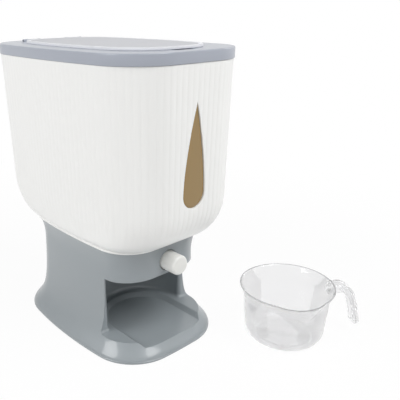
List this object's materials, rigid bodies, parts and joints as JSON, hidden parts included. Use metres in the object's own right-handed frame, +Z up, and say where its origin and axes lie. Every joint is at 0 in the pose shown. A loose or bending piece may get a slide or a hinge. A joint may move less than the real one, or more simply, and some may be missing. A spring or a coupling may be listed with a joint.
{
  "type": "rice dispenser",
  "caption": "Tall upright dry-grain bin with hinged lid and level window on a pedestal base; a push button opens a sliding gate over a cup bay, with a loose measuring cup.",
  "frame": {"origin": "middle of the dispenser's stand on the table, between its four foot pads", "axes": "+Z up, -Y out of the front with the button and the cup bay, +X to the right of a viewer who faces that front"},
  "size_m": [0.3173, 0.4242, 0.382],
  "materials": {
    "base_grey": "satin light blue-grey",
    "bin_white": "glossy white",
    "rim_grey": "satin grey",
    "lid_grey": "satin pale grey",
    "window_amber": "smoky amber, part clear",
    "button_white": "satin white",
    "guide_white": "plain",
    "funnel_white": "smooth",
    "gate_white": "plain",
    "cup_clear": "clear moulded plastic",
    "pad_rubber": "matte",
    "seal_silicone": "matte",
    "screw_steel": "zinc",
    "pin_steel": "drawn",
    "spring_steel": "drawn wire"
  },
  "bodies": {
    "dispenser": {"base_shell": "base_grey", "base_cover": "base_grey", "foot_pads": "pad_rubber", "cover_screws": "screw_steel", "bin_shell": "bin_white", "window_lens": "window_amber", "hopper": "funnel_white", "bin_screws": "screw_steel", "top_rim": "rim_grey", "hinge_pins": "pin_steel", "button_guide": "guide_white", "gate_housing": "guide_white", "housing_screws": "screw_steel", "outlet_chute": "funnel_white"},
    "lid": {"lid": "lid_grey", "lid_seal": "seal_silicone"},
    "button": {"button_cap": "button_white", "push_rod": "pin_steel", "rod_clip": "screw_steel", "gate_plate": "gate_white", "return_spring": "spring_steel"},
    "cup": {"measuring_cup": "cup_clear"}
  },
  "joints": [
    {"name": "lid_hinge", "type": "hinge", "parent": "dispenser", "child": "lid", "pos_m": [0, 0.1321, 0.3795], "axis": [-1, 0, 0], "range_deg": [0, 95]},
    {"name": "button_press", "type": "slide", "parent": "dispenser", "child": "button", "axis": [0, 1, 0], "range_m": [0, 0.015], "stiffness_N_per_m": 150, "springref_m": -0.01, "deforming": ["return_spring"]},
    {"name": "cup_lift", "type": "slide", "parent": "dispenser", "child": "cup", "axis": [0, 0, 1], "range_m": [0, 0.12]}
  ]
}
